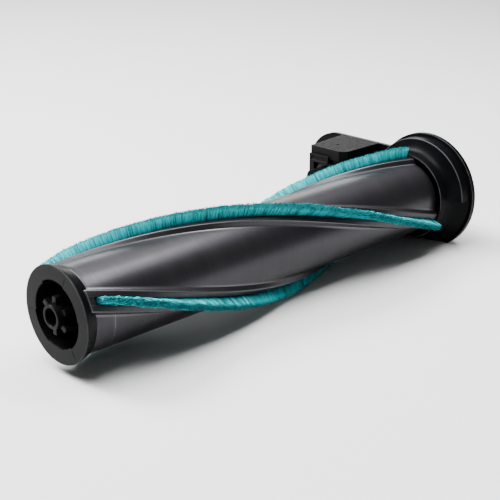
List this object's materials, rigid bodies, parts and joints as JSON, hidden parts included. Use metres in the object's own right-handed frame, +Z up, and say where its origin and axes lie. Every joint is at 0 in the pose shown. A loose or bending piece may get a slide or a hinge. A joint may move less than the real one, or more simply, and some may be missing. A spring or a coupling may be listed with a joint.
{
  "type": "powered brush roller for a wet dry floor scrubber",
  "caption": "Floor scrubber brush roller: grey tube with helical rails of turquoise pile, black idler cap, and a flanged drive unit with motor, gears and belt behind it.",
  "frame": {"origin": "middle of the footprint, on the floor that the pile and the drive housing's foot rest on", "axes": "+X along the roller from the idler cap to the drive flange, +Y to the back where the motor is, +Z up"},
  "size_m": [0.2552, 0.1162, 0.0582],
  "materials": {
    "roller_metal": "semi-gloss metallic grey, fine turned lines",
    "bristle_pile": "dense turquoise nylon pile",
    "backing_plastic": "teal plastic",
    "cap_plastic": "black, satin",
    "housing_plastic": "black, satin gloss",
    "bay_plastic": "dark grey, fine matt grain",
    "steel": "ground steel",
    "zinc": "zinc plated steel",
    "brass": "plain brass",
    "rubber": "black rubber",
    "acetal": "natural acetal",
    "ferrite": "dark grey",
    "board": "green solder mask",
    "wire_red": "red insulation",
    "wire_black": "black insulation"
  },
  "bodies": {
    "drive_unit": {"bearing_outer_ring": "steel", "drive_housing": "housing_plastic", "housing_cover": "housing_plastic", "bay_lid": "bay_plastic", "lid_clip": "bay_plastic", "shaft_seal": "rubber", "drive_belt": "rubber", "layshaft": "steel", "motor_can": "zinc", "motor_endbell": "housing_plastic", "motor_grommet": "rubber", "front_bush": "brass", "rear_bush": "brass", "motor_magnet_1": "ferrite", "motor_magnet_2": "ferrite", "motor_terminal_1": "brass", "motor_terminal_2": "brass", "driver_board": "board", "lead_wire_1": "wire_red", "lead_wire_2": "wire_black", "power_socket": "acetal", "socket_pin_1": "brass", "socket_pin_2": "brass", "cover_screw_1": "zinc", "cover_screw_2": "zinc", "cover_screw_3": "zinc", "cover_screw_4": "zinc", "cover_screw_5": "zinc"},
    "roller": {"roller_tube": "roller_metal", "bristle_backing_1": "backing_plastic", "bristle_backing_2": "backing_plastic", "bristle_backing_3": "backing_plastic", "bristle_strip_1": "bristle_pile", "bristle_strip_2": "bristle_pile", "bristle_strip_3": "bristle_pile", "end_cap": "cap_plastic", "drive_plug": "cap_plastic", "drive_spindle": "steel", "drum_pulley": "acetal", "pulley_screw": "zinc", "bearing_inner_ring": "steel"},
    "reduction": {"reduction_gear": "acetal"},
    "rotor": {"motor_shaft": "steel", "motor_armature": "ferrite", "motor_commutator": "brass", "motor_pinion": "brass"}
  },
  "joints": [
    {"name": "roller_spin", "type": "hinge", "parent": "drive_unit", "child": "roller", "pos_m": [0, -0.0265, 0.0266], "axis": [1, 0, 0], "continuous": true},
    {"name": "reduction_spin", "type": "hinge", "parent": "drive_unit", "child": "reduction", "pos_m": [0.12, 0.0389, 0.0266], "axis": [1, 0, 0], "continuous": true},
    {"name": "motor_spin", "type": "hinge", "parent": "drive_unit", "child": "rotor", "pos_m": [0.105, 0.0205, 0.03209], "axis": [1, 0, 0], "continuous": true}
  ],
  "couplings": [
    {"joint": "reduction_spin", "follows": "roller_spin", "ratio": 3},
    {"joint": "motor_spin", "follows": "roller_spin", "ratio": -9}
  ]
}
